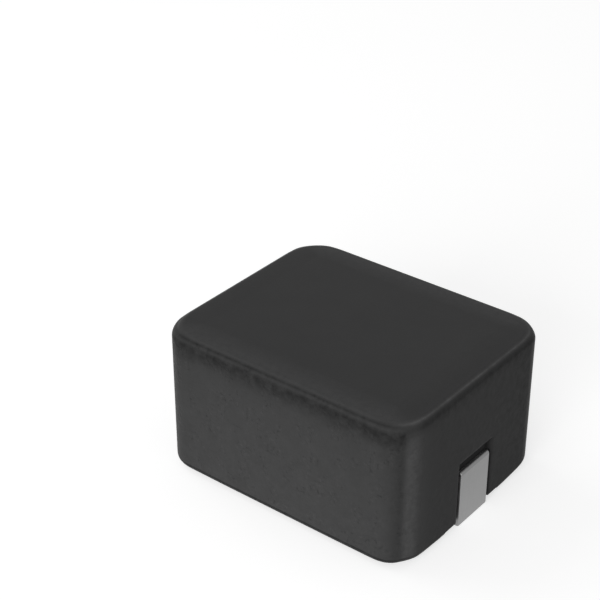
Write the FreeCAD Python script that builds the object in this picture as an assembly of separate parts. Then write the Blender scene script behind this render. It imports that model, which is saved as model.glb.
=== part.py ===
import FreeCAD, Part
import math
import os

# Shielded power inductor for surface mounting, in millimetres.
# A coil of enamelled copper wire is buried in a block of pressed and cured
# magnetic powder. Each end of the coil is welded to a tin-plated strip that
# leaves the block through the floor of a notch, is folded down the end face and
# then under the block, where it becomes a solder pad.
#
# Frame: X runs from terminal to terminal, Y across, Z up. The pads lie on Z = 0
# and the block is centred on X = 0, Y = 0.

# Block
BODY_LENGTH = 3.65
BODY_WIDTH = 3.0
BODY_HEIGHT = 1.97
CORNER_RADIUS = 0.405
EDGE_ROUND = 0.11
ROLL_WIDTH = 0.22
ROLL_RISE = 0.008

# Terminal strips
STRIP_WIDTH = 0.6
STRIP_THICKNESS = 0.06
BEND_OUTSIDE = 0.035
BEND_INSIDE = 0.01
LEG_TOP = 0.79
PAD_LENGTH = 0.795
TAB_REACH = 0.47

# How the terminals sit in the block
STANDOFF = 0.03
END_PROUD = 0.007
LEG_SIDE_GAP = 0.042
LEG_HEADROOM = 0.15
PAD_SIDE_GAP = 0.2625
PAD_END_GAP = 0.325
PAD_GAP = 0.025

# Coil of flat wire, wound on its edge
WIRE_WIDTH = 0.32
WIRE_THICKNESS = 0.11
ENAMEL = 0.01
FULL_TURNS = 5
COIL_RADIUS = 0.85
TAIL_ANGLE = 50.0
TAIL_CLEARANCE = 0.03
TAIL_BEND_INSIDE = 0.06
TAIL_END_WALL = 0.15

# Worked out from the sizes above
BODY_BOTTOM = STANDOFF
BODY_TOP = BODY_BOTTOM + BODY_HEIGHT
BODY_END = BODY_LENGTH / 2
STRIP_END = BODY_END + END_PROUD
LEG_BACK = STRIP_END - STRIP_THICKNESS
PAD_INNER = STRIP_END - PAD_LENGTH
TAB_INNER = LEG_BACK - TAB_REACH
TAB_UNDERSIDE = LEG_TOP - STRIP_THICKNESS
COIL_PITCH = WIRE_THICKNESS + 2 * ENAMEL
COIL_SWEEP = 180.0 - 2 * TAIL_ANGLE
COIL_START_ANGLE = 180.0 + TAIL_ANGLE
COIL_START_HEIGHT = TAB_UNDERSIDE - WIRE_THICKNESS / 2
COIL_END_HEIGHT = COIL_START_HEIGHT + COIL_PITCH * (FULL_TURNS + COIL_SWEEP / 360.0)

ORIGIN = FreeCAD.Vector(0, 0, 0)
ACROSS = FreeCAD.Vector(0, 1, 0)
UP = FreeCAD.Vector(0, 0, 1)


def rounded_path(points, radii):
    """Straight runs through the points, joined by an arc of the given radius at
    each inner point. Both ends of every arc are tangent to their runs."""
    edges = []
    start = points[0]
    for before, corner, after, radius in zip(points, points[1:], points[2:], radii):
        inward = (before - corner).normalize()
        onward = (after - corner).normalize()
        half_angle = inward.getAngle(onward) / 2
        cut_back = radius / math.tan(half_angle)
        arc_start = corner + inward * cut_back
        arc_end = corner + onward * cut_back
        bisector = (inward + onward).normalize()
        arc_middle = corner + bisector * (radius / math.sin(half_angle) - radius)
        edges.append(Part.LineSegment(start, arc_start).toShape())
        edges.append(Part.Arc(arc_start, arc_middle, arc_end).toShape())
        start = arc_end
    edges.append(Part.LineSegment(start, points[-1]).toShape())
    return Part.Wire(edges)


def strip(points, bend_radius, width, thickness):
    """A flat strip whose centre line runs through the points, in one upright
    plane, with the same bend at each inner point."""
    path = rounded_path(points, [bend_radius] * (len(points) - 2))
    ahead = (points[1] - points[0]).normalize()
    across = ahead.cross(UP).normalize() * (width / 2)
    through = across.cross(ahead).normalize() * (thickness / 2)
    corners = [points[0] + across * i + through * j for i, j in ((1, 1), (-1, 1), (-1, -1), (1, -1))]
    return path.makePipe(Part.Face(Part.makePolygon(corners + corners[:1])))


def rounded_rectangle(length, width, radius, height):
    """A level face with four round corners, centred on the Z axis."""
    x, y = length / 2, width / 2
    corners = [(-x, -y), (x, -y), (x, y), (-x, y)]
    middles = [FreeCAD.Vector(0, -y, height)]
    points = middles + [FreeCAD.Vector(cx, cy, height) for cx, cy in corners[1:]]
    points += [FreeCAD.Vector(-x, -y, height)] + middles
    return Part.Face(rounded_path(points, [radius] * len(corners)))


def roll(edge_height, direction):
    """The level face's slow fall to the rounded edge, on the top for direction 1
    and under the block for -1. It goes from the edge in to the level middle."""
    outlines = []
    for inset, rise in ((EDGE_ROUND, 0), (EDGE_ROUND + ROLL_WIDTH, ROLL_RISE)):
        face = rounded_rectangle(
            BODY_LENGTH - 2 * inset, BODY_WIDTH - 2 * inset, CORNER_RADIUS - inset,
            edge_height + direction * rise)
        outlines.append(face.OuterWire)
    return Part.makeLoft(outlines, True, True)


def block():
    """The pressed block: straight side walls from the die, round corners and
    edges, and a top and underside that fall a little towards their edges."""
    low_edge = BODY_BOTTOM + ROLL_RISE
    high_edge = BODY_TOP - ROLL_RISE
    outline = rounded_rectangle(BODY_LENGTH, BODY_WIDTH, CORNER_RADIUS, low_edge)
    walls = outline.extrude(UP * (high_edge - low_edge))
    level_edges = [edge for edge in walls.Edges if edge.BoundBox.ZLength < EDGE_ROUND]
    walls = walls.makeFillet(EDGE_ROUND, level_edges)
    return walls.fuse([roll(low_edge, -1), roll(high_edge, 1)]).removeSplitter()


def recesses(side):
    """What one end of the block lacks: a shallow pocket for the pad, open to the
    end face, and above it a narrow notch for the leg."""
    pocket_inner = PAD_INNER - PAD_END_GAP
    pocket_width = STRIP_WIDTH + 2 * PAD_SIDE_GAP
    pocket_top = STRIP_THICKNESS + PAD_GAP
    pocket = Part.makeBox(
        STRIP_END - pocket_inner, pocket_width, pocket_top,
        FreeCAD.Vector(pocket_inner, -pocket_width / 2, 0))
    notch_width = STRIP_WIDTH + 2 * LEG_SIDE_GAP
    notch = Part.makeBox(
        STRIP_THICKNESS, notch_width, LEG_TOP + LEG_HEADROOM,
        FreeCAD.Vector(LEG_BACK, -notch_width / 2, 0))
    return at_end(pocket.fuse(notch), side)


def at_end(shape, side):
    """Turns a shape modelled at the +X end half a turn about Z for the -X end."""
    if side < 0:
        shape = shape.rotated(FreeCAD.Vector(0, 0, 0), UP, 180)
    return shape


def edges_across(shape, places):
    """The edges that run along Y at the given pairs of X and Z."""
    return [
        edge for edge in shape.Edges for x, z in places
        if all(math.hypot(end.X - x, end.Z - z) < 1e-6 for end in edge.Vertexes)]


def terminal(side):
    """One strip folded from its weld tab inside the block, out through the floor
    of the notch, down the end face and under the block. Its side outline is
    carried across the width, then the two folds are rounded outside and inside."""
    outer_folds = [(STRIP_END, LEG_TOP), (STRIP_END, 0)]
    inner_folds = [(LEG_BACK, STRIP_THICKNESS), (LEG_BACK, TAB_UNDERSIDE)]
    outline = [(TAB_INNER, LEG_TOP)] + outer_folds + [(PAD_INNER, 0), (PAD_INNER, STRIP_THICKNESS)]
    outline += inner_folds + [(TAB_INNER, TAB_UNDERSIDE)]
    corners = [FreeCAD.Vector(x, -STRIP_WIDTH / 2, z) for x, z in outline]
    strip_solid = Part.Face(Part.makePolygon(corners + corners[:1])).extrude(ACROSS * STRIP_WIDTH)
    strip_solid = strip_solid.makeFillet(BEND_OUTSIDE, edges_across(strip_solid, outer_folds))
    strip_solid = strip_solid.makeFillet(BEND_INSIDE, edges_across(strip_solid, inner_folds))
    return at_end(strip_solid, side)


def helix_band(start_angle, sweep, middle_height, width, height):
    """An upright rectangle carried round the coil's helix from one angle on."""
    turns = sweep / 360.0
    spine = Part.makeHelix(COIL_PITCH, COIL_PITCH * turns, COIL_RADIUS)
    inner, outer = COIL_RADIUS - width / 2, COIL_RADIUS + width / 2
    corners = [(inner, -height / 2), (outer, -height / 2), (outer, height / 2), (inner, height / 2)]
    section = [FreeCAD.Vector(x, 0, z) for x, z in corners + corners[:1]]
    sweeper = Part.BRepOffsetAPI.MakePipeShell(Part.Wire(spine))
    sweeper.setBiNormalMode(UP)
    sweeper.add(Part.makePolygon(section))
    sweeper.build()
    sweeper.makeSolid()
    band = sweeper.shape()
    band.rotate(ORIGIN, UP, start_angle)
    band.translate(UP * middle_height)
    return band


def tail(side, margin):
    """One end of the coil, made thicker all round by the margin. It leaves the
    turns in a straight line. The lower end is already level with the underside of
    its tab. The upper end first clears the turns, then steps down to the top of
    its tab."""
    angle = math.radians(TAIL_ANGLE)
    ahead = FreeCAD.Vector(side * math.sin(angle), math.cos(angle), 0)
    start = FreeCAD.Vector(side * math.cos(angle), -math.sin(angle), 0) * COIL_RADIUS
    reach = LEG_BACK - TAIL_END_WALL - WIRE_WIDTH / 2 * math.cos(angle)
    end = start + ahead * ((reach - abs(start.x)) / math.sin(angle))
    bend_radius = TAIL_BEND_INSIDE + WIRE_THICKNESS / 2
    if side < 0:
        points = [start + UP * COIL_START_HEIGHT, end + UP * COIL_START_HEIGHT]
    else:
        turns_outside = COIL_RADIUS + WIRE_WIDTH / 2 + TAIL_CLEARANCE
        tail_inside = COIL_RADIUS - WIRE_WIDTH / 2
        clear = math.sqrt(turns_outside ** 2 - tail_inside ** 2)
        knee = start + ahead * (clear + bend_radius)
        weld_height = LEG_TOP + WIRE_THICKNESS / 2
        points = [
            start + UP * COIL_END_HEIGHT, knee + UP * COIL_END_HEIGHT,
            knee + UP * weld_height, end + UP * weld_height]
    return strip(points, bend_radius, WIRE_WIDTH + 2 * margin, WIRE_THICKNESS + 2 * margin)


def winding():
    """The flat copper wire: the helix and its two straight ends."""
    helix = helix_band(
        COIL_START_ANGLE, 360.0 * FULL_TURNS + COIL_SWEEP, COIL_START_HEIGHT,
        WIRE_WIDTH, WIRE_THICKNESS)
    return helix.fuse([tail(-1, 0), tail(1, 0)])


def winding_space():
    """The room that the enamelled winding takes up in the powder. The turns are
    bonded to each other, so they leave one ring. It is a turn taller over the
    stretch between the two ends, where the wire has passed once more."""
    width = WIRE_WIDTH + 2 * ENAMEL
    rest = 360.0 - COIL_SWEEP
    bands = []
    for start, sweep, turns in ((0, COIL_SWEEP, FULL_TURNS), (COIL_SWEEP, rest, FULL_TURNS - 1)):
        stack = COIL_PITCH * turns
        first = COIL_START_HEIGHT + COIL_PITCH * start / 360.0
        bands.append(helix_band(
            COIL_START_ANGLE + start, sweep, first + stack / 2, width, stack + COIL_PITCH))
    return bands[0].fuse([bands[1], tail(-1, ENAMEL), tail(1, ENAMEL)])


def main():
    os.makedirs("parts", exist_ok=True)
    right_terminal = terminal(1)
    left_terminal = terminal(-1)
    removed = [recesses(-1), recesses(1), left_terminal, right_terminal, winding_space()]
    nodes = {
        "moulded_core": block().cut(removed),
        "winding": winding(),
        "left_terminal": left_terminal,
        "right_terminal": right_terminal}
    for name, shape in nodes.items():
        print(name, "solids", len(shape.Solids), "valid", shape.isValid(), "volume", round(shape.Volume, 4))
        shape.exportStep("parts/" + name + ".step")


main()
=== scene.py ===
import math

import bmesh
import bpy
import numpy as np
from mathutils import Matrix, Vector


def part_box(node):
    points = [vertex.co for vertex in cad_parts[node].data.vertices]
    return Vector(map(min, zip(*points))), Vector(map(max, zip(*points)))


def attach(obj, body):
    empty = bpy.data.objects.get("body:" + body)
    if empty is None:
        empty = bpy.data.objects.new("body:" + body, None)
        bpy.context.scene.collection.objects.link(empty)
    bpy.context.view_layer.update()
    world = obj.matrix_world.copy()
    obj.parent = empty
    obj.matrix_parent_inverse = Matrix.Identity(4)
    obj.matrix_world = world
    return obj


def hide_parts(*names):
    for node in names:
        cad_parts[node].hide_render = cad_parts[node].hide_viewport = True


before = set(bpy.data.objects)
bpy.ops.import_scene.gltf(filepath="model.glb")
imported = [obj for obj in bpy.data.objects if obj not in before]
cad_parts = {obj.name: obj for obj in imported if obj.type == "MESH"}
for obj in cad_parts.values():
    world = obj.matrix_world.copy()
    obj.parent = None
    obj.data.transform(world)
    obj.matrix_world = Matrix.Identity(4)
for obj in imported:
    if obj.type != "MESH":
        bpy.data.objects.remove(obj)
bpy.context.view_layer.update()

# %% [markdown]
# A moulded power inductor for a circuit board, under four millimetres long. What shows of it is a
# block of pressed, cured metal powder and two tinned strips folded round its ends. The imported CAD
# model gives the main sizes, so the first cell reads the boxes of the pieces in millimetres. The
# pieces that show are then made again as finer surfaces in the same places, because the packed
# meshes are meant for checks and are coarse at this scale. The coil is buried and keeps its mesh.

MM = 0.001
ROOT = "root"


def node_box(name):
    """The lowest and highest corner of a CAD node, in millimetres."""
    low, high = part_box(name)
    return np.array(low) / MM, np.array(high) / MM


core_low, core_high = node_box("moulded_core")
strip_low, strip_high = node_box("right_terminal")
half_length, half_width = core_high[0], core_high[1]
face_heights = {"underside": core_low[2], "top": core_high[2]}
print("block", np.round(core_high - core_low, 3), "mm")
print("strip", np.round(strip_high - strip_low, 3), "mm")

# %% [markdown]
# The camera comes first, so that every later look is from the photograph's side. The photograph
# was taken from well away with a long lens: the block's edges converge only a little. The angles
# and the distance were worked out from how the block's corners lie in the picture. The camera
# sits above and to the left of the line through the block's middle, so that the block lies low
# and to the right. A shifted lens would do the same, but every other view would keep the shift.

# %% Camera
CAMERA_AZIMUTH = 38.44
CAMERA_ELEVATION = 30.44
CAMERA_DISTANCE = 19.38 * MM
FOCAL_LENGTH = 93.94
SENSOR_WIDTH = 36.0
LEFT_STEP = 0.6455 * MM
UP_STEP = 1.1462 * MM
CLIP_NEAR = 0.1 * MM
CLIP_FAR = 10.0
BODY_MIDDLE = Vector((0.0, 0.0, (core_low[2] + core_high[2]) / 2 * MM))


def direction(azimuth, elevation):
    """Unit vector towards a place at two angles in degrees: the azimuth turns anticlockwise from
    -Y, and the elevation rises from level."""
    azimuth, elevation = math.radians(azimuth), math.radians(elevation)
    return Vector((
        math.sin(azimuth) * math.cos(elevation),
        -math.cos(azimuth) * math.cos(elevation),
        math.sin(elevation)))


away = direction(CAMERA_AZIMUTH, CAMERA_ELEVATION)
camera_turn = math.radians(CAMERA_AZIMUTH)
sideways = Vector((math.cos(camera_turn), math.sin(camera_turn), 0.0))
upwards = away.cross(sideways)
camera_data = bpy.data.cameras.new("camera")
camera_data.lens = FOCAL_LENGTH
camera_data.sensor_width = SENSOR_WIDTH
camera_data.clip_start = CLIP_NEAR
camera_data.clip_end = CLIP_FAR
camera = bpy.data.objects.new("camera", camera_data)
bpy.context.scene.collection.objects.link(camera)
axes = Matrix((sideways, upwards, away)).transposed().to_4x4()
camera_place = BODY_MIDDLE + away * CAMERA_DISTANCE - sideways * LEFT_STEP + upwards * UP_STEP
camera.matrix_world = Matrix.Translation(camera_place) @ axes
bpy.context.scene.camera = camera
print("camera at", [round(c / MM, 2) for c in camera_place], "mm")

# %% [markdown]
# Every new piece is one or more grids of points, each a whole numpy array of places. A narrow
# stretch where the shape turns sharply, such as the wall of a recess, gets a cluster of grid
# lines, and the flat parts get few. Boxes with modifiers would be quicker to make, but leave no
# say in where the lines lie.

# %% Grid lines
WALL_REACH = 0.015
WALL_CLEARANCE = 1.5 * WALL_REACH
WALL_LINES = 11


def stations(low, high, step, walls=()):
    """Places from low to high about a step apart, with a close cluster at each wall."""
    even = np.linspace(low, high, int(round((high - low) / step)) + 1)
    for wall in walls:
        clear = np.abs(even - wall) > WALL_CLEARANCE
        even = even[clear | (even == low) | (even == high)]
    clusters = [wall + WALL_REACH * np.linspace(-1, 1, WALL_LINES) for wall in walls]
    return np.unique(np.concatenate([even] + clusters))


def smooth_step(distance, reach):
    """0 below -reach, 1 above +reach, and 3t^2 - 2t^3 between, with t running from 0 to 1."""
    t = np.clip((distance + reach) / (2 * reach), 0, 1)
    return t * t * (3 - 2 * t)


def read_curve(place, curve):
    """The value at a place on a line drawn through pairs of place and value."""
    return np.interp(place, *zip(*curve))


print("a recess's wall gets", WALL_LINES, "grid lines over", 2 * WALL_REACH, "mm")

# %% [markdown]
# One routine turns grids into a piece. The faces follow from how the points of a grid are
# numbered. Patches that meet share their border points exactly, so merging the doubles closes the
# piece, and the count of open edges shows whether it did. Values such as tones are kept at each
# point, where the finish can read them. A loop that adds one face at a time would give the same
# mesh, but slowly.

# %% Grids into pieces
MERGE_DISTANCE = 2e-5


def grid_faces(rows, columns):
    """Corner numbers of a grid's quads. They face along (row direction) x (column direction)."""
    first = np.arange((rows - 1) * columns).reshape(rows - 1, columns)[:, :-1].ravel()
    return np.stack([first, first + columns, first + columns + 1, first + 1], axis=1)


def piece_from_patches(name, patches, attributes):
    """One mesh piece from grids of points in millimetres, with values kept at each point."""
    points, faces, offset = [], [], 0
    for patch in patches:
        points.append(patch.reshape(-1, 3))
        faces.append(grid_faces(*patch.shape[:2]) + offset)
        offset += points[-1].shape[0]
    mesh = bpy.data.meshes.new(name)
    mesh.from_pydata(np.concatenate(points) * MM, [], np.concatenate(faces))
    for label, grids in attributes.items():
        values = np.concatenate([grid.ravel() for grid in grids]).astype(np.float32)
        mesh.attributes.new(label, "FLOAT", "POINT").data.foreach_set("value", values)
    shape = bmesh.new()
    shape.from_mesh(mesh)
    bmesh.ops.remove_doubles(shape, verts=shape.verts, dist=MERGE_DISTANCE * MM)
    open_edges = sum(not edge.is_manifold for edge in shape.edges)
    volume = round(shape.calc_volume(signed=True) / MM ** 3, 3)
    shape.to_mesh(mesh)
    shape.free()
    mesh.polygons.foreach_set("use_smooth", np.ones(len(mesh.polygons), bool))
    piece = bpy.data.objects.new(name, mesh)
    bpy.context.scene.collection.objects.link(piece)
    print(name, len(mesh.polygons), "faces,", open_edges, "open edges,", volume, "cubic mm")
    return piece


print("points within", MERGE_DISTANCE, "mm of each other are merged")

# %% [markdown]
# The terminals lie in recesses of the block: a notch in each end, a little wider than the strip,
# and a shallow pocket under each end, a good deal wider than the pad. Each is worked out from the
# strip's own box plus a clearance, so that it still fits when the strip changes.

# %% Sizes of the recesses
STRIP_THICKNESS = 0.06
PAD_END_GAP = 0.325
PAD_SIDE_GAP = 0.2625
LEG_SIDE_GAP = 0.042
LEG_HEADROOM = 0.15
POCKET_FLOOR = 0.085

pocket_inner = strip_low[0] - PAD_END_GAP
pocket_half_width = strip_high[1] + PAD_SIDE_GAP
notch_half_width = strip_high[1] + LEG_SIDE_GAP
notch_floor = strip_high[0] - STRIP_THICKNESS
notch_top = strip_high[2] + LEG_HEADROOM
print("notch", (2 * notch_half_width).round(3), "mm wide, pocket",
      (2 * pocket_half_width).round(3), "mm wide")

# %% [markdown]
# The block is pressed in a die, which gives it straight walls with round corners. Each line of its
# outline is kept as a point of an inner rectangle and a direction outwards. Every inset from the
# wall is then one multiplication, at the corners as on the sides. The lines lie close together
# where the walls of the recesses will be.

# %% Outline of the block
CORNER_RADIUS = 0.405
CORNER_LINES = 25
LINE_STEP = 0.05

straight_x = half_length - CORNER_RADIUS
straight_y = half_width - CORNER_RADIUS
x_lines = stations(-straight_x, straight_x, LINE_STEP, (-pocket_inner, pocket_inner))
y_lines = stations(
    -straight_y, straight_y, LINE_STEP,
    (-pocket_half_width, -notch_half_width, notch_half_width, pocket_half_width))


def outline_stations():
    """The block's outline anticlockwise: for each station the point of the inner rectangle that
    it belongs to, and the unit vector that points out of the wall there."""
    quarter = np.linspace(0, math.pi / 2, CORNER_LINES)[1:-1]
    centres, outwards = [], []
    sides = (
        (x_lines, -straight_y, -90), (y_lines, straight_x, 0),
        (x_lines[::-1], straight_y, 90), (y_lines[::-1], -straight_x, 180))
    for lines, fixed, heading in sides:
        still = np.full_like(lines, fixed)
        along_x = heading in (-90, 90)
        side = np.stack([lines, still] if along_x else [still, lines], axis=1)
        angle = math.radians(heading) + np.concatenate([np.zeros(len(lines)), quarter])
        centres.append(np.concatenate([side, np.repeat(side[-1:], len(quarter), axis=0)]))
        outwards.append(np.stack([np.cos(angle), np.sin(angle)], axis=1))
    centres, outwards = np.concatenate(centres), np.concatenate(outwards)
    return np.vstack([centres, centres[:1]]), np.vstack([outwards, outwards[:1]])


def corner_places():
    """Where each line of the outline lies: the heading from a long side in degrees, 0 to 90 round
    a corner, below 0 by 100 for each mm along the long side and above 90 by 100 for each mm along
    the end."""
    around = np.degrees(np.arctan2(np.abs(outwards[:, 0]), np.abs(outwards[:, 1])))
    along_side = straight_x - np.abs(centres[:, 0])
    along_end = straight_y - np.abs(centres[:, 1])
    return around - 100 * along_side + 100 * along_end


centres, outwards = outline_stations()
corner_place = corner_places()
print(len(centres), "lines round the outline")

# %% [markdown]
# Two punches give the block its top and its underside, which fall a little towards their borders
# and end in a rounded edge. One profile goes from the level middle of the top out over the edge,
# down the wall and in to the level middle of the underside. Carried round the outline it makes a
# ring, and two level caps close it. Its lines lie closest on the rounded edges.

# %% Lines of the profile
EDGE_ROUND = 0.11
ROLL_DROP = 0.008
CORNER_DEEPER = 0.03
FACE_LINES = 21
EDGE_LINES = 49


def profile_stations():
    """The lines of the profile from the top cap down the wall to the bottom cap: the share of the
    way from the cap to the rounded edge, the surface's angle from level, the end that the line
    belongs to (1 top, -1 underside, 0 wall), and its height on the wall."""
    on_face = np.linspace(0, 1, FACE_LINES)[:-1]
    bend = np.linspace(0, math.pi / 2, EDGE_LINES)
    wall_low = face_heights["underside"] + ROLL_DROP + EDGE_ROUND + CORNER_DEEPER
    wall_high = face_heights["top"] - ROLL_DROP - EDGE_ROUND - CORNER_DEEPER
    wall = stations(wall_low, wall_high, LINE_STEP, (notch_top,))[::-1][1:-1]
    shares = np.concatenate([on_face, bend * 0 + 1])
    angles = np.concatenate([on_face * 0, bend])
    return (
        np.concatenate([shares, wall * 0 + 1, shares[::-1]]),
        np.concatenate([angles, wall * 0 + math.pi / 2, angles[::-1]]),
        np.concatenate([shares * 0 + 1, wall * 0, shares * 0 - 1]),
        np.concatenate([shares * 0, wall, shares * 0]))


profile_lines = profile_stations()
print(len(profile_lines[0]), "lines down the profile")

# %% [markdown]
# The rounding of the edges grows wider where it goes round a corner. Round the underside it also
# varies along the way, from least in the middle of the ends to most round the corners. Half way
# down each edge a hair-thin ridge of powder marks where punch and die met. All of that is one
# formula for inset and height, worked out for the whole ring at once. The alternative, a bevelled
# box, has neither fall nor ridge, and its edge is as wide at the corners as between them.

# %% Rounded edges
LOW_EDGE_ROUND = (
    (-60, 0.100), (-10, 0.106), (10, 0.100), (25, 0.094), (38, 0.100), (50, 0.118), (60, 0.122),
    (70, 0.118), (90, 0.103), (110, 0.086), (130, 0.070), (199, 0.066))
TOP_CORNER = 0.47
LOW_CORNER = 0.42
ROLL_WIDTH = 0.22
RIDGE_ANGLE = math.radians(50)
RIDGE_HEIGHT = 0.003
RIDGE_REACH = math.radians(9)


def edge_width(radius, corner):
    """How far in from the wall the flat face begins: at the radius, but where its outline turns
    with a rounder corner than the wall, further in. From the inner rectangle's point the way out
    to that corner's arc is -q.d + sqrt((q.d)^2 - q.q + corner^2), with d the outward direction and
    q the way from the arc's centre to the point."""
    limits = np.stack([half_length - radius - corner, half_width - radius - corner], axis=-1)
    q = np.maximum(np.abs(centres) - limits, 0)
    q_along = (q * np.abs(outwards)).sum(axis=-1)
    way_out = np.sqrt(q_along ** 2 - (q * q).sum(axis=-1) + corner ** 2) - q_along
    return CORNER_RADIUS - way_out


def profile_on_outline():
    """Inset from the wall and height of every line of the profile at every line of the outline.
    On a face the inset goes from CORNER_RADIUS to the edge's width, and the fall is ROLL_DROP *
    t^2, with t from 0 to 1 over the last ROLL_WIDTH before the edge, or over less where the face
    is narrower. On the edge the inset is width - (width + ridge) * sin(angle), and the depth goes
    by cos(angle) in the same way. The top edge is deeper by CORNER_DEEPER in a corner's middle,
    and the rounding of the lower edge is read off LOW_EDGE_ROUND."""
    shares, angles, ends, wall_heights = [values[:, None] for values in profile_lines]
    low_round = read_curve(corner_place, LOW_EDGE_ROUND)
    low_width = edge_width(low_round, LOW_CORNER)
    top_width = edge_width(EDGE_ROUND, TOP_CORNER)
    width = np.where(ends < 0, low_width, top_width)
    corner_share = (2 * outwards[:, 0] * outwards[:, 1]) ** 2
    depth = np.where(ends < 0, low_round, EDGE_ROUND + CORNER_DEEPER * corner_share)
    ridge = RIDGE_HEIGHT * np.exp(-((angles - RIDGE_ANGLE) / RIDGE_REACH) ** 2)
    inset = width + (1 - shares) * (CORNER_RADIUS - width) - (width + ridge) * np.sin(angles)
    fall_width = np.minimum(ROLL_WIDTH, CORNER_RADIUS - width)
    t = np.clip((width + fall_width - inset) / fall_width, 0, 1)
    drop = ROLL_DROP * t * t + depth - (depth + ridge) * np.cos(angles)
    level = np.where(ends > 0, face_heights["top"], face_heights["underside"])
    height = np.where(ends == 0, wall_heights, level - ends * drop)
    return inset, height, angles[:, 0], (inset - width)[:, 0]


insets, heights, tilts, before_edge = profile_on_outline()
print("the block runs from", heights.min().round(3), "to", heights.max().round(3),
      "mm above the board")

# %% [markdown]
# Light and shade are painted into how light the surface is. The long walls are painted lighter than
# the faces, more so towards the bottom, and the ends are painted darker, as painted shade. On the
# top just before the edge of a long side, and on the rounded edge of an end, a painted highlight
# runs along the edge. Below it a band of painted shade runs along the edge and fades down the wall.
# These bands follow the block's own lines, so each line keeps its tone, read off a curve over where
# the line lies. A painted picture would do the same, but would have to be unwrapped first.

# %% Tones down the walls
UPRIGHT = math.radians(89)
# painted highlight on the top before the edge, painted shade along and below the edge, and painted
# light growing down the wall
LONG_SIDE_PAINTED_SHADING = (
    (-300, 1.0), (-235, 1.06), (-160, 1.12), (-90, 1.18), (-20, 1.24), (10, 1.2), (23, 1.1),
    (33, 0.82), (43, 0.60), (52, 0.76), (61, 0.82), (72, 0.64), (85, 0.54), (105, 0.54),
    (150, 0.62), (200, 0.70), (255, 0.84), (330, 0.97), (500, 1.03), (1000, 1.1), (1800, 1.18))
# a narrow painted highlight on the rounded edge, painted shade below it, and the whole end painted
# darker as painted shade
END_PAINTED_SHADING = (
    (-200, 0.97), (-60, 0.94), (0, 0.97), (14, 1.0), (24, 1.22), (34, 1.85), (42, 1.3),
    (50, 0.94), (62, 0.74), (75, 0.62), (90, 0.60), (120, 0.64), (170, 0.74), (250, 0.79),
    (1000, 0.80), (1800, 0.81))


def painted_edge_shading():
    """For each line of the profile, on a long side and on an end: the painted light and shade, as a
    tone read off a curve over where the line lies. That is 1000 for each mm before the rounded
    edge, below 0, then the angle round it in degrees, and 1000 for each mm down the wall. The
    underside has tone 1."""
    on_wall = tilts > UPRIGHT
    wall_top = heights[np.argmax(on_wall), 0]
    down_wall = np.maximum(wall_top - heights[:, 0], 0) * on_wall
    place = np.degrees(tilts) + 1000 * down_wall - 1000 * before_edge * (tilts == 0)
    above = heights[:, 0] > face_heights["underside"] + EDGE_ROUND / 2
    return (np.where(above, read_curve(place, LONG_SIDE_PAINTED_SHADING), 1),
            np.where(above, read_curve(place, END_PAINTED_SHADING), 1))


long_painted_shading, end_painted_shading = painted_edge_shading()
print("tones down a long side", long_painted_shading.min().round(2), "to", long_painted_shading.max().round(2))

# %% [markdown]
# The upright corners get painted light and shade. One has painted shade at its middle and a stripe
# of painted highlight just beyond it, and the other three are painted darker there, as painted
# shade. Their tones will multiply those of the walls, so that the band along the top still runs
# through them.

# %% Tones round the corners
# one corner: painted shade at its middle, then a stripe of painted highlight
PAINTED_HIGHLIGHT_CORNER_TONES = (
    (-80, 1.0), (-30, 0.95), (15, 0.95), (25, 0.94), (33, 0.9), (41, 0.85), (46, 0.86),
    (50, 1.05), (54, 1.45), (59, 1.7), (70, 1.76), (80, 1.58), (90, 1.34), (95, 1.25),
    (105, 1.13), (125, 1.06), (160, 1.03), (199, 1.0))
# the other three corners: painted shade at their middle
PAINTED_SHADE_CORNER_TONES = (
    (-60, 1.0), (-20, 0.97), (0, 0.95), (20, 0.90), (35, 0.78), (45, 0.66), (52, 0.58),
    (60, 0.60), (75, 0.68), (90, 0.75), (110, 0.82), (140, 0.91), (199, 1.0))


def painted_corner_shading():
    """For each line of the outline: the painted highlight and shade of its corner, as a tone read
    off a curve over its corner place.
    """
    highlight_corner = (centres[:, 0] > 0) & (centres[:, 1] < 0)
    return np.where(highlight_corner, read_curve(corner_place, PAINTED_HIGHLIGHT_CORNER_TONES),
                    read_curve(corner_place, PAINTED_SHADE_CORNER_TONES))


corner_painted_shading = painted_corner_shading()
print("tones round the corners", corner_painted_shading.min().round(2), "to", corner_painted_shading.max().round(2))

# %% [markdown]
# The recesses are part of the same surface. Cutting them with boxes would leave long thin faces and
# razor edges, so the points inside a recess are pushed in to its floor instead, and a smooth step
# over three hundredths of a millimetre makes the wall. That leaves each edge a little rounded, as
# on the pressed part. For the finish, each point also keeps its tone of painted light and shade,
# how marked the surface is there, and whether it lies in a recess, where the colour gets painted
# shade.

# %% The block
# painted shade: the pockets get half the darkening of the notches
POCKET_SHADE = 0.5
END_MARKS = 0.15
CORNER_TONE_ANGLE = math.radians(74)
CORNER_TONE_REACH = math.radians(16)


def recess(x, y, z):
    """Pushes points that lie in a pocket up to its floor, and points in a notch in to its floor.
    The share that a point moves is the product of one smooth step for each wall it has passed."""
    in_pocket = smooth_step(np.abs(x) - pocket_inner, WALL_REACH)
    in_pocket = in_pocket * smooth_step(pocket_half_width - np.abs(y), WALL_REACH)
    in_pocket = in_pocket * (z < POCKET_FLOOR)
    z = z + in_pocket * (POCKET_FLOOR - z)
    in_notch = smooth_step(notch_half_width - np.abs(y), WALL_REACH)
    in_notch = in_notch * smooth_step(notch_top - z, WALL_REACH) * (np.abs(x) > notch_floor)
    reach = np.abs(x) + in_notch * (notch_floor - np.abs(x))
    # painted shade: hollow is 1 in a notch and POCKET_SHADE in a pocket, and darkens the colour
    # there
    hollow = np.maximum(POCKET_SHADE * in_pocket, in_notch)
    return np.stack([np.sign(x) * reach, y, z], axis=-1), hollow


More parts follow.
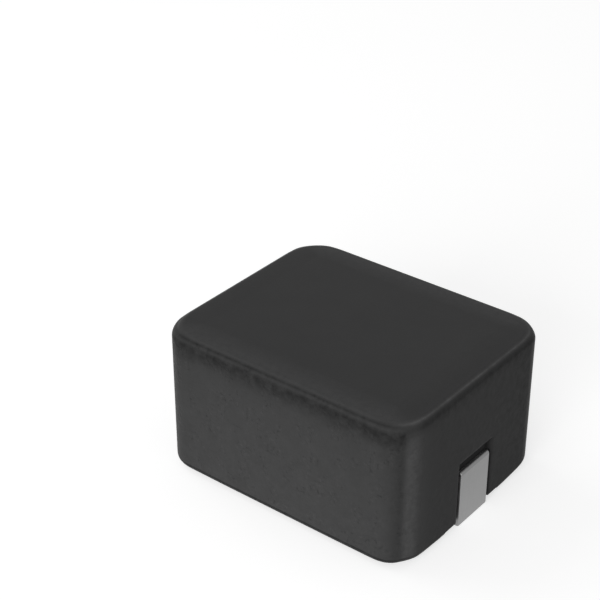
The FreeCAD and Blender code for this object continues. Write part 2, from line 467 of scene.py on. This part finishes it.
def ring_patch():
    """Point = inner point + (CORNER_RADIUS - inset) * outward, at the profile's height. The tone,
    which is painted light and shade, goes from the end's to the long side's with the square of
    outward y, and below the edge it is multiplied by the corner's tone. The marks go by the sine of
    the tilt, fewer on the ends."""
    x = centres[None, :, 0] + (CORNER_RADIUS - insets) * outwards[None, :, 0]
    y = centres[None, :, 1] + (CORNER_RADIUS - insets) * outwards[None, :, 1]
    points, hollow = recess(x, y, heights)
    walls = np.sin(tilts)[:, None]
    marks = walls * (END_MARKS + (1 - END_MARKS) * np.abs(outwards[None, :, 1]))
    # painted light and shade: the walls' and the corners' tones, carried to the finish as the
    # block's tone
    tone = end_painted_shading[:, None] + (long_painted_shading - end_painted_shading)[:, None] * outwards[None, :, 1] ** 2
    below_edge = smooth_step(tilts - CORNER_TONE_ANGLE, CORNER_TONE_REACH)[:, None]
    tone = tone * (1 + (corner_painted_shading[None, :] - 1) * below_edge)
    return points, marks, hollow, tone


def cap_patch(top):
    """A level grid over the inner rectangle, at the height of the face, unmarked and of tone 1."""
    x, y = np.meshgrid(x_lines, y_lines, indexing="ij")
    points, hollow = recess(x, y, face_heights["top" if top else "underside"] + x * 0)
    if not top:
        points, hollow = points.transpose(1, 0, 2), hollow.T
    return points, hollow * 0, hollow, hollow * 0 + 1


points, marks, hollows, tones = zip(ring_patch(), cap_patch(True), cap_patch(False))
block = piece_from_patches(
    "pressed_block", points, {"marks": marks, "hollow": hollows, "tone": tones})
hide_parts("moulded_core")
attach(block, ROOT)

# %% [markdown]
# Each terminal is a strip of tinned copper. It leaves the block through the floor of the notch,
# is folded down, then under the block. The folds are tight, and the strip's stamped edges are
# slightly rounded so that they catch the light. Both are a matter of rounding corners with short
# arcs: the corners of the strip's route, and those of its section. Smooth shading would make the
# straight runs beside an arc look curved, so each arc has one more point on either side.

# %% Routes and sections
FOLD_OUTSIDE = 0.035
FOLD_INSIDE = 0.01
FOLD_STEPS = 12
STRIP_EDGE = 0.012
EDGE_STEPS = 6
SUPPORT = 0.004


def rounded_line(corners, radius):
    """Points in the XZ plane of straight runs joined by quarter circles of the given radius. A
    quarter circle's points are centre + radius * unit vector, turned evenly between the runs. One
    more point SUPPORT before and after it keeps the straight runs flat under smooth shading."""
    corners = np.array(corners, float)
    rows = [corners[:1]]
    for before, corner, after in zip(corners, corners[1:], corners[2:]):
        incoming = (corner - before) / np.linalg.norm(corner - before)
        outgoing = (after - corner) / np.linalg.norm(after - corner)
        angle = np.linspace(0, math.pi / 2, FOLD_STEPS)[:, None]
        centre = corner - radius * incoming + radius * outgoing
        bend = centre + radius * (np.sin(angle) * incoming - np.cos(angle) * outgoing)
        rows += [bend[:1] - SUPPORT * incoming, bend, bend[-1:] + SUPPORT * outgoing]
    return np.vstack(rows + [corners[-1:]])


def rounded_section(width):
    """A closed rounded rectangle as across, in millimetres, and through, from -1 at the strip's
    inner side to 1 at its outer side, with corners of radius STRIP_EDGE. Clockwise. Each corner
    arc has one more point SUPPORT before and after it, as in rounded_line."""
    quarter = np.linspace(0, math.pi / 2, EDGE_STEPS)
    quarter = np.concatenate([quarter[:1], quarter, quarter[-1:]])
    slide = np.tile(np.concatenate([[-SUPPORT], np.zeros(EDGE_STEPS), [SUPPORT]]), 4)
    angle = np.concatenate([quarter + k * math.pi / 2 for k in range(4)])
    middle = np.repeat(np.arange(4) * math.pi / 2 + math.pi / 4, len(quarter))
    across = np.sign(np.cos(middle)) * (width / 2 - STRIP_EDGE)
    across = across + STRIP_EDGE * np.cos(angle) - slide * np.sin(angle)
    through = np.sign(np.sin(middle)) * (STRIP_THICKNESS / 2 - STRIP_EDGE)
    through = through + STRIP_EDGE * np.sin(angle) + slide * np.cos(angle)
    section = np.stack([across, through / (STRIP_THICKNESS / 2)], axis=1)
    return np.vstack([section, section[:1]])[::-1]


section = rounded_section(strip_high[1] - strip_low[1])
print(len(section) - 1, "points round the strip's section")

# %% [markdown]
# The strip is a row of such sections. Each one runs from the inner side of the strip to the outer
# side, and the two sides follow their own rounded lines, because a tight fold is sharper inside
# than outside. One line thickened evenly would cross itself inside such a fold. The second
# terminal is the same strip turned half round, so one function makes both.

# %% The terminals
TAB_INNER = 1.302
# how far the painted shade at the upper fold fades
FOLD_SHADE_REACH = 0.004
END_STEPS = 5


def strip_patch(side):
    """Row point = middle + through * (outer - inner) / 2, moved across by the section. At each
    end the section shrinks over a quarter circle of STRIP_EDGE, then to the middle point."""
    outer_x, top, inner_end = strip_high[0], strip_high[2], strip_low[0]
    back, under = outer_x - STRIP_THICKNESS, top - STRIP_THICKNESS
    outer = rounded_line(
        [(TAB_INNER, top), (outer_x, top), (outer_x, 0), (inner_end, 0)], FOLD_OUTSIDE)
    inner = rounded_line(
        [(TAB_INNER, under), (back, under), (back, STRIP_THICKNESS),
         (inner_end, STRIP_THICKNESS)], FOLD_INSIDE)
    quarter = np.linspace(0, math.pi / 2, END_STEPS)
    ahead = STRIP_EDGE * (1 - np.cos(quarter))[:, None]
    shrink = STRIP_EDGE * (1 - np.sin(quarter))
    inwards = np.array([1.0, 0.0])
    outer, inner = [np.vstack([
        line[:1], line[:1] + ahead * inwards, line[1:-1], line[-1:] + ahead[::-1] * inwards,
        line[-1:]]) for line in (outer, inner)]
    flat = np.zeros(len(outer) - 2 * len(quarter) - 2)
    shrink = np.concatenate([shrink[:1], shrink, flat, shrink[::-1], shrink[:1]])[:, None]
    size = np.concatenate([[0.0], np.ones(len(outer) - 2), [0.0]])[:, None]
    half_width_here = (strip_high[1] - shrink) / strip_high[1]
    half_through = 1 - shrink / (STRIP_THICKNESS / 2)
    across = size * half_width_here * section[None, :, 0]
    through = size * half_through * section[None, :, 1]
    places = (outer + inner)[:, None] / 2 + through[..., None] * (outer - inner)[:, None] / 2
    # painted shade: the strip at and just below its upper fold, darkened in the finish
    fold = smooth_step(places[..., 1] - (top - FOLD_OUTSIDE - FOLD_SHADE_REACH), FOLD_SHADE_REACH)
    return np.stack([side * places[..., 0], side * across, places[..., 1]], axis=-1), fold


terminals = []
for node, side in (("left_terminal", -1), ("right_terminal", 1)):
    strip_points, fold = strip_patch(side)
    strip = piece_from_patches("folded_" + node, [strip_points], {"fold": [fold]})
    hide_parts(node)
    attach(strip, ROOT)
    terminals.append(strip)

# %% [markdown]
# The finishes are node materials on Object coordinates, so nothing slides when the part is seen
# from another side. The coordinates are first turned into millimetres, so that every scale below
# reads as "so many per millimetre". The patterns are noise and the values that a piece keeps at
# its points. Image textures would need pictures on disk and an unwrapped mesh, and these finishes
# are fine grain without a motif.

# %% Coordinates and patterns
NOISE_RANGE = (0.3, 0.7)


def stretch(tree, vector, scales):
    """Coordinates multiplied by one number for each axis."""
    node = tree.nodes.new("ShaderNodeMapping")
    node.inputs["Scale"].default_value = scales
    tree.links.new(vector, node.inputs["Vector"])
    return node.outputs["Vector"]


def new_material(name):
    """A material with a plain Principled shader, and Object coordinates in millimetres."""
    material = bpy.data.materials.new(name)
    material.use_nodes = True
    tree = material.node_tree
    coordinates = tree.nodes.new("ShaderNodeTexCoord").outputs["Object"]
    in_mm = stretch(tree, coordinates, (1 / MM, 1 / MM, 1 / MM))
    return material, tree, tree.nodes["Principled BSDF"], in_mm


def noise(tree, vector, scale, detail, roughness):
    """Noise of the given number of waves per millimetre. Most of it lies in NOISE_RANGE."""
    node = tree.nodes.new("ShaderNodeTexNoise")
    node.inputs["Scale"].default_value = scale
    node.inputs["Detail"].default_value = detail
    node.inputs["Roughness"].default_value = roughness
    tree.links.new(vector, node.inputs["Vector"])
    return node.outputs["Fac"]


def attribute(tree, name):
    """The value that a piece keeps at each of its points."""
    node = tree.nodes.new("ShaderNodeAttribute")
    node.attribute_name = name
    return node.outputs["Fac"]


print("patterns are scaled by", round(1 / MM), "to be counted per millimetre")

# %% [markdown]
# A pattern is only a number at each point. It becomes a finish when the middle of its range is
# spread out, when it is added to others or multiplied by them, and when it picks a colour between
# two or raises the surface. Each of these is one node, which a helper adds and links. A node group
# could hold the same steps, but a step that is written out is easier to change.

# %% Values and colours
def spread(tree, value, low, high, to_low=0.0, to_high=1.0):
    """Maps low..high to to_low..to_high and stops at both ends."""
    node = tree.nodes.new("ShaderNodeMapRange")
    for label, number in zip(
            ("From Min", "From Max", "To Min", "To Max"), (low, high, to_low, to_high)):
        node.inputs[label].default_value = number
    tree.links.new(value, node.inputs["Value"])
    return node.outputs["Result"]


def combine(tree, operation, first, second):
    """One arithmetic step on two values. A plain number is set on the socket itself."""
    node = tree.nodes.new("ShaderNodeMath")
    node.operation = operation
    for socket, value in zip(node.inputs, (first, second)):
        if isinstance(value, (int, float)):
            socket.default_value = value
        else:
            tree.links.new(value, socket)
    return node.outputs["Value"]


def weighted(tree, first, second, share):
    """first * share + second * (1 - share)."""
    return combine(tree, "ADD", combine(tree, "MULTIPLY", first, share),
                   combine(tree, "MULTIPLY", second, 1 - share))


def blend_colours(tree, share, dark, light):
    """A colour between two, by a share from 0 to 1."""
    node = tree.nodes.new("ShaderNodeMix")
    node.data_type = "RGBA"
    tree.links.new(share, node.inputs["Factor"])
    for label, colour in (("A", dark), ("B", light)):
        socket = [s for s in node.inputs if s.name == label and s.type == "RGBA"][0]
        if isinstance(colour, tuple):
            socket.default_value = (*colour, 1.0)
        else:
            tree.links.new(colour, socket)
    return [s for s in node.outputs if s.type == "RGBA"][0]


def bump(tree, height, depth, shader):
    """Bump whose full height, from 0 to 1, is depth millimetres."""
    node = tree.nodes.new("ShaderNodeBump")
    node.inputs["Distance"].default_value = depth * MM
    tree.links.new(height, node.inputs["Height"])
    tree.links.new(node.outputs["Normal"], shader.inputs["Normal"])


print("most of a noise lies from", NOISE_RANGE[0], "to", NOISE_RANGE[1])

# %% [markdown]
# The punched faces of the block are the smoothest. The walls have slid along the die, so they carry
# patches of small marks, dark where grains were pulled out and light where they were smeared. The
# bands of painted light and shade are made crumbly with noise. The values that the block keeps at
# each point decide how much of that shows. One noise all over would be simpler, but would mark the
# faces as much as the walls.

# %% Marks of pressing
EDGE_GRIT = 2.0


def powder_mottle(tree, vector):
    """(specks * patches + blotches - 0.5) * marks. The specks run from -1 to 0.6 and are 0 over
    most of the surface, and the patches run from 0.1 to 1."""
    fine = noise(tree, vector, scale=20.0, detail=3.0, roughness=0.5)
    dark_specks = spread(tree, fine, low=0.32, high=0.45, to_low=-1.0, to_high=0.0)
    light_specks = spread(tree, fine, low=0.56, high=0.68, to_low=0.0, to_high=0.6)
    specks = combine(tree, "ADD", dark_specks, light_specks)
    coarse = noise(tree, vector, scale=4.5, detail=2.0, roughness=0.5)
    patches = spread(tree, coarse, low=0.47, high=0.60, to_low=0.1, to_high=1.0)
    blotches = noise(tree, vector, scale=7.0, detail=3.0, roughness=0.5)
    mottle = combine(tree, "ADD", combine(tree, "MULTIPLY", specks, patches),
                     combine(tree, "SUBTRACT", blotches, 0.5))
    return combine(tree, "MULTIPLY", mottle, attribute(tree, "marks"))


def painted_shading_with_grit(tree, vector):
    """tone + EDGE_GRIT * (grit - 0.5) * |tone - 1|, so that the bands of painted light and shade
    look crumbly.
    """
    tone = attribute(tree, "tone")
    grit = noise(tree, vector, scale=11.0, detail=4.0, roughness=0.6)
    grit = combine(tree, "MULTIPLY", combine(tree, "SUBTRACT", grit, 0.5), EDGE_GRIT)
    banding = combine(tree, "ABSOLUTE", combine(tree, "SUBTRACT", tone, 1.0), 0.0)
    return combine(tree, "ADD", tone, combine(tree, "MULTIPLY", grit, banding))


print("the bands waver by about", round(EDGE_GRIT * (NOISE_RANGE[1] - 0.5), 2), "of their strength")

# %% [markdown]
# The pressed powder is a matte dark grey, with grains a few hundredths of a millimetre across and
# slow clouds. The grains set colour, roughness and relief together, as they do on the real part.
# The powder is bound with resin but hardly shiny, so the specular level is far below that of a
# moulded plastic.

# %% Pressed powder
POWDER_DARK = (0.0435, 0.0435, 0.0437)
POWDER_LIGHT = (0.0495, 0.0495, 0.0497)
POWDER_ROUGHNESS = (0.36, 0.46)
POWDER_SPECULAR = 0.02
POWDER_RELIEF = 0.004
# painted shade: how light the colour stays where hollow is 1
HOLLOW_PAINTED_SHADE = 0.46
SPECK_AMOUNT = 0.22


def pressed_powder():
    """Colour = blend by grain and clouds, times the tone of painted light and shade, times (1 +
    SPECK_AMOUNT * mottle).
    Where the block's hollow is 1 it is HOLLOW_PAINTED_SHADE as light. The grain also sets the
    roughness, and grain and mottle together the bump."""
    material, tree, shader, vector = new_material("pressed_powder")
    grain = noise(tree, vector, scale=38.0, detail=5.0, roughness=0.62)
    clouds = noise(tree, vector, scale=2.6, detail=3.0, roughness=0.55)
    mottle = powder_mottle(tree, vector)
    share = weighted(tree, grain, clouds, 0.7)
    base = blend_colours(tree, spread(tree, share, *NOISE_RANGE), POWDER_DARK, POWDER_LIGHT)
    # painted shade in the recesses, darker where hollow is higher
    recess_painted_shade = spread(
        tree, attribute(tree, "hollow"), low=0.0, high=1.0, to_low=1.0, to_high=HOLLOW_PAINTED_SHADE)
    shade = combine(tree, "MULTIPLY", painted_shading_with_grit(tree, vector), recess_painted_shade)
    speckled = combine(tree, "ADD", combine(tree, "MULTIPLY", mottle, SPECK_AMOUNT), 1.0)
    shade = combine(tree, "MULTIPLY", shade, speckled)
    scaled = tree.nodes.new("ShaderNodeVectorMath")
    scaled.operation = "SCALE"
    tree.links.new(base, scaled.inputs["Vector"])
    tree.links.new(shade, scaled.inputs["Scale"])
    tree.links.new(scaled.outputs["Vector"], shader.inputs["Base Color"])
    roughness = spread(tree, grain, *NOISE_RANGE, *POWDER_ROUGHNESS)
    tree.links.new(roughness, shader.inputs["Roughness"])
    shader.inputs["Specular IOR Level"].default_value = POWDER_SPECULAR
    height = combine(tree, "ADD", combine(tree, "MULTIPLY", grain, 0.3), mottle)
    bump(tree, height, POWDER_RELIEF, shader)
    return material


powder = pressed_powder()
block.data.materials.append(powder)
print("block finish:", powder.name)

# %% [markdown]
# Matte tin is electroplated on the copper strip. It is a metal, but its surface is a felt of
# crystals under a hundredth of a millimetre across, so it shows no clear reflection, only a soft
# sheen, and is a mid grey rather than silver. Clouds in its roughness and faint marks along the
# strip keep it from looking painted. Where the strip comes out of the block and is folded down, it
# is painted darker, as painted shade under the notch's top. The strip keeps that place as a value.

# %% Matte tin
TIN_DARK = (0.285, 0.285, 0.285)
TIN_LIGHT = (0.306, 0.306, 0.306)
# painted shade at the upper fold, under the notch's top
TIN_PAINTED_SHADE = (0.10, 0.10, 0.10)
FOLD_SHADE_SHARE = 0.4
TIN_ROUGHNESS = (0.40, 0.50)
TIN_RELIEF = 0.0012
TIN_MARK_SCALES = (4.0, 60.0, 4.0)


def matte_tin():
    """Colour = blend by clouds and marks, then a set share of a dark colour at the fold, as painted
    shade. The marks are noise squeezed across the strip. Crystals and marks together set the bump."""
    material, tree, shader, vector = new_material("matte_tin")
    crystals = noise(tree, vector, scale=120.0, detail=3.0, roughness=0.6)
    clouds = noise(tree, vector, scale=5.0, detail=3.0, roughness=0.5)
    along_strip = stretch(tree, vector, TIN_MARK_SCALES)
    marks = noise(tree, along_strip, scale=1.0, detail=2.0, roughness=0.5)
    tone = weighted(tree, clouds, marks, 0.6)
    colour = blend_colours(tree, spread(tree, tone, low=0.36, high=0.64), TIN_DARK, TIN_LIGHT)
    # painted shade at the upper fold
    fold_shade = combine(tree, "MULTIPLY", attribute(tree, "fold"), FOLD_SHADE_SHARE)
    colour = blend_colours(tree, fold_shade, colour, TIN_PAINTED_SHADE)
    tree.links.new(colour, shader.inputs["Base Color"])
    roughness = spread(tree, clouds, *NOISE_RANGE, *TIN_ROUGHNESS)
    tree.links.new(roughness, shader.inputs["Roughness"])
    shader.inputs["Metallic"].default_value = 1.0
    bump(tree, weighted(tree, crystals, marks, 0.5), TIN_RELIEF, shader)
    return material


tin = matte_tin()
for strip in terminals:
    strip.data.materials.append(tin)
print("terminal finish:", tin.name)

# %% [markdown]
# The coil cannot be seen in the closed block, but whoever opens the model finds it, so it gets
# its real finish too: drawn copper under clear enamel, with faint lines along the wire. The
# enamel is the shader's own coat, which lies on the metal as the real film does.

# %% Enamelled copper
COPPER_DARK = (0.58, 0.22, 0.09)
COPPER_LIGHT = (0.74, 0.33, 0.16)
COPPER_ROUGHNESS = (0.26, 0.38)
COPPER_RELIEF = 0.001
COPPER_LINE_SCALES = (3.0, 3.0, 50.0)
ENAMEL_WEIGHT = 0.6
ENAMEL_ROUGHNESS = 0.15


def enamelled_copper():
    """Colour, roughness and bump all go by the drawn lines. They are noise squeezed along Z, so
    they run round with the turns of the coil."""
    material, tree, shader, vector = new_material("enamelled_copper")
    along_wire = stretch(tree, vector, COPPER_LINE_SCALES)
    lines = noise(tree, along_wire, scale=1.0, detail=3.0, roughness=0.5)
    share = spread(tree, lines, low=0.35, high=0.65)
    colour = blend_colours(tree, share, COPPER_DARK, COPPER_LIGHT)
    tree.links.new(colour, shader.inputs["Base Color"])
    roughness = spread(tree, lines, *NOISE_RANGE, *COPPER_ROUGHNESS)
    tree.links.new(roughness, shader.inputs["Roughness"])
    shader.inputs["Metallic"].default_value = 1.0
    shader.inputs["Coat Weight"].default_value = ENAMEL_WEIGHT
    shader.inputs["Coat Roughness"].default_value = ENAMEL_ROUGHNESS
    bump(tree, lines, COPPER_RELIEF, shader)
    return material


copper = enamelled_copper()
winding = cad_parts["winding"]
winding.data.materials.clear()
winding.data.materials.append(copper)
print("coil finish:", copper.name)

# %% [markdown]
# The photograph has a plain white ground. The floor is pale and takes the light like paper, so
# the block's shadow stays on it. What the camera and reflections see of it is lifted with Light
# Path, so that it reads as white without more light on the object. A floor that is simply whiter
# would throw more light up under the block. The lift isn't sampled as a lamp, because a ray to a
# lamp doesn't count as a reflection, and the strips would then mirror a darker floor.

# %% Floor
FLOOR_SIZE = 400.0 * MM
FLOOR_COLOUR = (0.55, 0.55, 0.55, 1.0)
FLOOR_ROUGHNESS = 0.9
FLOOR_LIFT = 0.65
WHITE = (1.0, 1.0, 1.0, 1.0)


def seen_directly(tree):
    """1 where the camera, a reflection or glass looks straight at the surface, else 0."""
    path = tree.nodes.new("ShaderNodeLightPath")
    ray = path.outputs
    reflected = combine(tree, "MAXIMUM", ray["Is Glossy Ray"], ray["Is Transmission Ray"])
    return combine(tree, "MAXIMUM", ray["Is Camera Ray"], reflected)


def floor_material():
    """Matte paper, with white emission of strength FLOOR_LIFT where it is seen directly."""
    material = bpy.data.materials.new("floor_paper")
    material.use_nodes = True
    material.cycles.emission_sampling = "NONE"
    tree = material.node_tree
    shader = tree.nodes["Principled BSDF"]
    shader.inputs["Base Color"].default_value = FLOOR_COLOUR
    shader.inputs["Roughness"].default_value = FLOOR_ROUGHNESS
    shader.inputs["Specular IOR Level"].default_value = 0.0
    lift = combine(tree, "MULTIPLY", seen_directly(tree), FLOOR_LIFT)
    shader.inputs["Emission Color"].default_value = WHITE
    tree.links.new(lift, shader.inputs["Emission Strength"])
    return material


floor_mesh = bpy.data.meshes.new("floor")
half_floor = FLOOR_SIZE / 2
floor_mesh.from_pydata(
    [(-half_floor, -half_floor, 0), (half_floor, -half_floor, 0),
     (half_floor, half_floor, 0), (-half_floor, half_floor, 0)], [], [(0, 1, 2, 3)])
floor = bpy.data.objects.new("floor", floor_mesh)
bpy.context.scene.collection.objects.link(floor)
floor.data.materials.append(floor_material())
print("floor", round(FLOOR_SIZE / MM), "mm square")

# %% [markdown]
# Beyond the floor the world does the same: it is white where it is seen directly, and lights the
# part at a lower level, as the bright walls of a studio would. A world of one level would either
# look grey behind the part or wash out its dark finish. The view transform is set to Standard, so
# that the greys of the render can be compared with those of the photograph one to one.

# %% World
WORLD_LEVEL = 0.385

bpy.context.scene.view_settings.view_transform = "Standard"
world = bpy.data.worlds.new("studio")
bpy.context.scene.world = world
world.use_nodes = True
world.cycles.sampling_method = "NONE"
world_tree = world.node_tree
background = world_tree.nodes["Background"]
background.inputs["Color"].default_value = WHITE
strength = spread(
    world_tree, seen_directly(world_tree), low=0.0, high=1.0, to_low=WORLD_LEVEL, to_high=1.0)
world_tree.links.new(strength, background.inputs["Strength"])
print("world level", WORLD_LEVEL)

# %% [markdown]
# Two large soft lamps light the part at a plain level: the main one low in front, and a weaker
# one higher on the left. Each is a square sheet that faces the block's middle from a direction
# given as azimuth and elevation, like the camera. Small lamps would draw hard shadows, and a sun
# would leave no soft sheen on the tin.

# %% Lamps
LAMP_DISTANCE = 60.0 * MM
LAMPS = (
    ("front_lamp", 11, 16, 36, 0.79),
    ("left_lamp", 278, 40, 44, 0.20))


def lamp(name, azimuth, elevation, size, level):
    """A soft square lamp of power level * pi^2 * distance^2. A distant sheet of that power lights
    a surface that faces it so that a white one shows that level, where 1 is full white."""
    back = direction(azimuth, elevation)
    data = bpy.data.lights.new(name, "AREA")
    data.shape = "SQUARE"
    data.size = size * MM
    data.energy = level * math.pi ** 2 * LAMP_DISTANCE ** 2
    lamp_object = bpy.data.objects.new(name, data)
    lamp_object.location = BODY_MIDDLE + back * LAMP_DISTANCE
    lamp_object.rotation_mode = "QUATERNION"
    lamp_object.rotation_quaternion = (-back).to_track_quat("-Z", "Y")
    lamp_object.visible_camera = False
    bpy.context.scene.collection.objects.link(lamp_object)
    print(name, size, "mm square,", round(data.energy, 4), "W")


for name, azimuth, elevation, size, level in LAMPS:
    lamp(name, azimuth, elevation, size, level)
